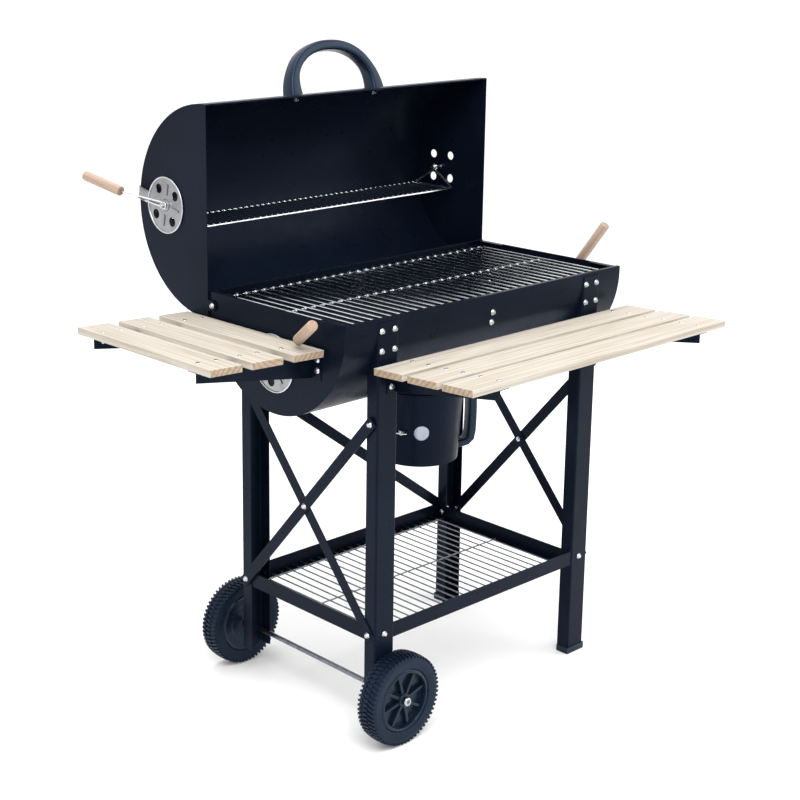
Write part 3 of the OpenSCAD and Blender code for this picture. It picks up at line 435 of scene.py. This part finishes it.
def build_wheel(name, center, outward, body, node):
    """Moulded wheel: a ribbed dish towards the outside, a plain closed disc towards the cart."""
    half = WHEEL_HALF_WIDTH
    bore = 5.3 * MM
    outside = [(62 * MM, half - 3.5 * MM), (59.5 * MM, half - 1.8 * MM), (57 * MM, half - 0.8 * MM),
               (55 * MM, half - 1 * MM), (54.2 * MM, half - 3 * MM), (53 * MM, 7 * MM),
               (15.5 * MM, 6 * MM), (14 * MM, half - 3.5 * MM), (12.5 * MM, half - 1.5 * MM),
               (bore, half - 1.5 * MM)]
    inside = [(bore, -half + 1 * MM), (14 * MM, -half + 1 * MM), (15.5 * MM, -half + 3 * MM),
              (38 * MM, -half + 3.6 * MM), (40 * MM, -half + 2.8 * MM), (56 * MM, -half + 2.8 * MM),
              (58 * MM, -half + 1.6 * MM), (60 * MM, -half + 1.6 * MM), (62 * MM, -half + 3.5 * MM)]
    bm = lathe(outside + inside, 96, closed=True)
    for k in range(RIBS):
        add_rib(bm, 2 * math.pi * (k + 0.3) / RIBS)
    obj = piece(name, bm, BLACK_PLASTIC, body, (node,), aim(center, outward),
                smooth=False)
    return soften(obj, 0.6 * MM, 2, 30)


def add_rib(bm, turn):
    """A flat-topped rib of the dish, from the hub boss to the rim."""
    c, s = math.cos(turn), math.sin(turn)
    corners = []
    for radius, top in ((13 * MM, 15.5 * MM), (53.8 * MM, 14 * MM)):
        for across in (-1, 1):
            for z, half_width in ((5 * MM, 4.0 * MM), (top, 2.9 * MM)):
                shift = across * half_width
                corners.append(bm.verts.new((radius * c - shift * s, radius * s + shift * c, z)))
    for face in ((0, 1, 3, 2), (4, 6, 7, 5), (0, 4, 5, 1), (2, 3, 7, 6), (1, 5, 7, 3),
                 (0, 2, 6, 4)):
        bm.faces.new([corners[i] for i in face])


def build_axle_caps():
    """Push-on caps pressed over the axle's ends, which show as dark spots in their middles."""
    for end, y, outward in (("front", -240, (0, -1, 0)), ("rear", 272.5, (0, 1, 0))):
        profile = [(5.05 * MM, -3 * MM), (8.6 * MM, -3 * MM), (8.6 * MM, 2 * MM), (7.4 * MM, 4.2 * MM),
                   (5.6 * MM, 4.8 * MM), (4.2 * MM, 4.4 * MM), (4 * MM, 4.05 * MM), (5.05 * MM, 4.02 * MM)]
        piece(f"{end}_axle_cap", lathe(profile, 40, closed=True), ZINC, "cart",
              ("axle_caps",), aim(at(AXLE_X, y, AXLE_Z), outward))


def build_wheels():
    for end, y, outward in (("front", -217.5, (0, -1, 0)), ("rear", 250, (0, 1, 0))):
        body = f"{end}_wheel_assembly"
        center = at(AXLE_X, y, AXLE_Z)
        build_tyre(f"{end}_tyre_tread", center, outward, body, f"{end}_tyre")
        build_wheel(f"{end}_wheel_face", center, outward, body, f"{end}_wheel")


# end of the barrel, outside of its plate (x), hub (y, z), lever's angle and body of each vent
LID_VENT = (390, (317, 979))
BODY_VENT = (386, (0, 724))
LEVERS = {
    "lid_left": (-1, *LID_VENT, 11, "lid_left_damper"),
    "lid_right": (1, *LID_VENT, 0, "lid_right_damper"),
    "body_left": (-1, *BODY_VENT, 146, "body_left_damper"),
    "body_right": (1, *BODY_VENT, 123, "body_right_damper"),
}
# where a grip starts and ends, as (distance from the hub, distance from the plate)
STRAIGHT_GRIP = ((101, 36.6), (208, 49))
KINKED_GRIP = ((125, 33.4), (202, 55))
GRIP_RADIUS = 10 * MM
LEVER_WIRE_RADIUS = 1.5 * MM


def vent_point(side, plate, hub, angle, along, across, standoff):
    """A point along and across a vent's lever, at a distance from the barrel's end plate."""
    c, s = math.cos(math.radians(angle)), math.sin(math.radians(angle))
    return at(side * (plate + standoff), hub[0] + along * c - across * s,
              hub[1] + along * s + across * c)


def build_grips():
    """Turned grips with rounded ends and a small hollow where the wire goes in."""
    for name, (side, plate, hub, angle, body) in LEVERS.items():
        start, end = KINKED_GRIP if name == "body_left" else STRAIGHT_GRIP
        a, b = (vent_point(side, plate, hub, angle, along, 0, standoff)
                for along, standoff in (start, end))
        length = (b - a).length
        r = GRIP_RADIUS
        profile = [(1.7 * MM, 0.6 * MM), (3 * MM, 0), (r - 1.6 * MM, 0), (r - 0.4 * MM, 1 * MM),
                   (r, 3 * MM), (r, length / 2), (r, length - 3 * MM),
                   (r - 0.5 * MM, length - 1.2 * MM), (r - 2 * MM, length - 0.2 * MM), (0, length)]
        bm = lathe(profile, 32)
        turn_to_x = Matrix.Rotation(math.pi / 2, 4, "Y")
        bmesh.ops.transform(bm, matrix=turn_to_x, verts=bm.verts)
        matrix = aim(a, b - a) @ turn_to_x.inverted()
        piece(f"{name}_grip", bm, BEECH, body, (f"grip_{name}",), matrix)


def sweep(bm, points, radius, sides=10):
    """Round wire through points, mitred at the bends and closed at both ends."""
    points = [Vector(p) for p in points]
    rings = []
    normal = None
    for i, p in enumerate(points):
        before = (p - points[i - 1]).normalized() if i else None
        after = (points[i + 1] - p).normalized() if i < len(points) - 1 else None
        tangent = ((before or after) + (after or before)).normalized()
        if normal is None:
            normal = tangent.orthogonal().normalized()
        normal = (normal - tangent * normal.dot(tangent)).normalized()
        other = tangent.cross(normal)
        rings.append([
            bm.verts.new(p + radius * (math.cos(a) * normal + math.sin(a) * other))
            for a in (2 * math.pi * k / sides for k in range(sides))
        ])
    for a, b in zip(rings, rings[1:]):
        for k in range(sides):
            j = (k + 1) % sides
            bm.faces.new((a[k], a[j], b[j], b[k]))
    bm.faces.new(rings[0][::-1])
    bm.faces.new(rings[-1])


def rounded_section(width, depth, corner, steps=4):
    """Closed loop of a rounded rectangle, as (across, deep) pairs."""
    loop = []
    for sx, sy, start in ((1, 1, 0), (-1, 1, 90), (-1, -1, 180), (1, -1, 270)):
        for i in range(steps + 1):
            a = math.radians(start + 90 * i / steps)
            loop.append((sx * (width / 2 - corner) + corner * math.cos(a),
                         sy * (depth / 2 - corner) + corner * math.sin(a)))
    return loop


def sweep_section(bm, path, side, sections):
    """Carries a closed section along a path; side is the section's constant deep axis."""
    side = Vector(side).normalized()
    rings = []
    for i, p in enumerate(path):
        before = (p - path[i - 1]).normalized() if i else None
        after = (path[i + 1] - p).normalized() if i < len(path) - 1 else None
        tangent = ((before or after) + (after or before)).normalized()
        across = side.cross(tangent).normalized()
        rings.append([bm.verts.new(p + across * u + side * v) for u, v in sections[i]])
    count = len(rings[0])
    for a, b in zip(rings, rings[1:]):
        for k in range(count):
            j = (k + 1) % count
            bm.faces.new((a[k], a[j], b[j], b[k]))
    bm.faces.new(rings[0][::-1])
    bm.faces.new(rings[-1])


def handle_line(half_foot, rise, steps=14):
    """Centre line of an arched handle, as (along, up) pairs from one foot to the other."""
    right = [(half_foot, -6 * MM)]
    for i in range(steps + 1):
        a = math.pi / 2 * i / steps
        right.append((half_foot * math.cos(a) ** 0.9, rise * math.sin(a) ** 0.9))
    left = [(-x, z) for x, z in reversed(right[:-1])]
    return right + left


HANDLE_LEAN = math.radians(17)
HANDLE_HALF_FOOT = 113 * MM
HANDLE_RISE = 97 * MM
HANDLE_TAPER_RISE = 50 * MM


def build_lid_handle():
    """Thick moulded arch, broad at its feet and slimmer along the grip."""
    up = Vector((0, math.sin(HANDLE_LEAN), math.cos(HANDLE_LEAN)))
    deep = Vector((0, math.cos(HANDLE_LEAN), -math.sin(HANDLE_LEAN)))
    foot = at(0, 256, 1176)
    line = handle_line(HANDLE_HALF_FOOT, HANDLE_RISE)
    path = [foot + Vector((1, 0, 0)) * x + up * z for x, z in line]
    sections = []
    for _, z in line:
        share = max(0.0, min(1.0, z / HANDLE_TAPER_RISE))
        width = (31 - 10 * share) * MM
        depth = (35 - 5 * share) * MM
        sections.append(rounded_section(width, depth, 7 * MM))
    bm = bmesh.new()
    sweep_section(bm, path, deep, sections)
    piece("lid_handle_arch", bm, BLACK_PLASTIC, "lid", ("lid_handle",))


POT_HANDLE_TURN = math.radians(-13)
POT_HANDLE_DEPTH = 25 * MM
# the loop's centre line, as (distance from the pot's axis, height)
POT_HANDLE_LINE = [(84, 585), (104, 584), (118, 580), (125, 572), (127.5, 560), (128, 540),
                   (127.5, 515), (126.5, 494), (123.5, 479), (115, 471.5), (102, 470), (78, 470)]


def build_pot_handle():
    """Moulded loop down the side of the ash pot, thicker where it's held than at its two ends."""
    c, s = math.cos(POT_HANDLE_TURN), math.sin(POT_HANDLE_TURN)
    out = Vector((c, s, 0))
    side = Vector((s, -c, 0))
    path = [at(0, 0, z) + out * r * MM for r, z in POT_HANDLE_LINE]
    sections = []
    for r, _ in POT_HANDLE_LINE:
        thick = 18 if r > 120 else 15
        sections.append(rounded_section(thick * MM, POT_HANDLE_DEPTH, 4 * MM))
    bm = bmesh.new()
    sweep_section(bm, path, side, sections)
    piece("ash_pot_handle_loop", bm, BLACK_PLASTIC, "ash_bucket",
          ("ash_pot_handle",))


# the levers' wires, as (along, across, distance from the plate)
KINKED_LEG = [(14, 4.2, 6), (60, 1.5, 5.2), (98, 0, 5), (104, 0, 5.4), (108, 0, 10),
              (118, 0, 29), (122, 0, 32.6), (160, 0, 43.2)]
STRAIGHT_LEG = [(12, 4.4, 7.2), (20, 4, 10), (60, 2, 23.6), (92, 0, 34.6),
                (100, 0, 36.4), (150, 0, 42.3)]
SHORT_LEG = [(12, -4.6, 6.8), (40, -8, 5.6), (58, -9.5, 5.0), (62, -9.5, 4.7)]
EYE_RADIUS = 6.2
EYE_STEPS = 12


def build_levers():
    """Bent wire: once round the hub bolt, a long leg to the grip, a short one to the disc."""
    for name, (side, plate, hub, angle, body) in LEVERS.items():
        long_leg = KINKED_LEG if name == "body_left" else STRAIGHT_LEG
        eye = []
        for i in range(EYE_STEPS + 1):
            share = i / EYE_STEPS
            a = math.radians(50 + 260 * share)
            eye.append((EYE_RADIUS * math.cos(a), EYE_RADIUS * math.sin(a), 5.4 + 1.2 * share))
        path = [vent_point(side, plate, hub, angle, *spot)
                for spot in [*reversed(long_leg), *eye, *SHORT_LEG]]
        bm = bmesh.new()
        sweep(bm, path, LEVER_WIRE_RADIUS)
        piece(f"{name}_lever", bm, CHROME, body, (f"vent_wires_{name}",))


def ring(radius, tube, steps=72, sides=12):
    """Plain torus about Z, as a closed lathe."""
    profile = []
    for i in range(sides):
        a = 2 * math.pi * i / sides
        profile.append((radius + tube * math.cos(a), tube * math.sin(a)))
    return lathe(profile, steps, closed=True)


RIM_RADIUS = 54.6 * MM
RIM_TUBE = 1.75 * MM
RIM_STANDOFF = 1.9


def build_vent_rims():
    """Bright rolled rim and pressed hub boss of each vent disc."""
    for name, (side, plate, hub, _, body) in LEVERS.items():
        matrix = aim(at(side * (plate + RIM_STANDOFF), *hub), (side, 0, 0))
        rim = ring(RIM_RADIUS, RIM_TUBE)
        piece(f"{name}_rim", rim, ZINC, body, (), matrix)
        boss = lathe([(3.2 * MM, 2.2 * MM), (8.5 * MM, 2.2 * MM), (10 * MM, 1.4 * MM),
                      (12 * MM, -0.2 * MM), (3.2 * MM, -0.2 * MM)], 32, closed=True)
        piece(f"{name}_boss", boss, GALVANISED, body, (), matrix)


dress_cad_nodes()
build_slats()
build_wheels()
build_axle_caps()
build_grips()
build_lid_handle()
build_pot_handle()
build_levers()
build_vent_rims()


# ---------- camera, floor and light ----------

FLOOR_SIZE = 12.0
DAYLIGHT = 1.2


def build_stage():
    """Plain white floor, even daylight and three soft lamps."""
    bm = bmesh.new()
    bmesh.ops.create_grid(bm, x_segments=4, y_segments=4, size=FLOOR_SIZE)
    data = bpy.data.meshes.new("floor")
    bm.to_mesh(data)
    bm.free()
    floor = bpy.data.objects.new("floor", data)
    bpy.context.scene.collection.objects.link(floor)
    m = Nodes("floor_white")
    vector = m.coordinates()
    m.link(m.ramp(m.noise(vector, 3, 3), [(0.3, (0.955, 0.955, 0.955)), (0.7, (0.97, 0.97, 0.97))]),
           m.shader.inputs["Base Color"])
    m.set("Roughness", 0.9)
    m.set("Specular IOR Level", 0.1)
    data.materials.append(m.material)

    world = bpy.data.worlds.new("studio")
    bpy.context.scene.world = world
    world.use_nodes = True
    background = world.node_tree.nodes["Background"]
    background.inputs["Color"].default_value = (1.0, 1.0, 1.0, 1)
    background.inputs["Strength"].default_value = DAYLIGHT
    bpy.context.scene.view_settings.view_transform = "Standard"

    lights = (
        ("key_light", at(-1400, -1500, 3000), 2.0, 60),
        ("fill_light", at(2200, -1800, 2200), 2.0, 25),
        ("top_light", at(0, 300, 3600), 2.4, 50),
    )
    for name, position, width, power in lights:
        light = bpy.data.lights.new(name, "AREA")
        light.shape = "SQUARE"
        light.size = width
        light.energy = power
        obj = bpy.data.objects.new(name, light)
        bpy.context.scene.collection.objects.link(obj)
        obj.matrix_world = aim(position, position - at(0, 0, 700))


CAMERA_AT = (-2226, -2144, 1509)
CAMERA_DOWN = 14.29
CAMERA_ROLL = 0.12
CAMERA_HEADING = -41.16
CAMERA_LENS = 71.4
CAMERA_SHIFT = (0.141, -0.089)


def build_camera():
    """A camera at standing height, off the front left corner."""
    camera = bpy.data.cameras.new("camera")
    camera.sensor_width = 36
    camera.lens = CAMERA_LENS
    camera.shift_x, camera.shift_y = CAMERA_SHIFT
    obj = bpy.data.objects.new("camera", camera)
    bpy.context.scene.collection.objects.link(obj)
    obj.location = at(*CAMERA_AT)
    obj.rotation_euler = [math.radians(a) for a in (90 - CAMERA_DOWN, CAMERA_ROLL, CAMERA_HEADING)]
    bpy.context.scene.camera = obj


build_stage()
build_camera()
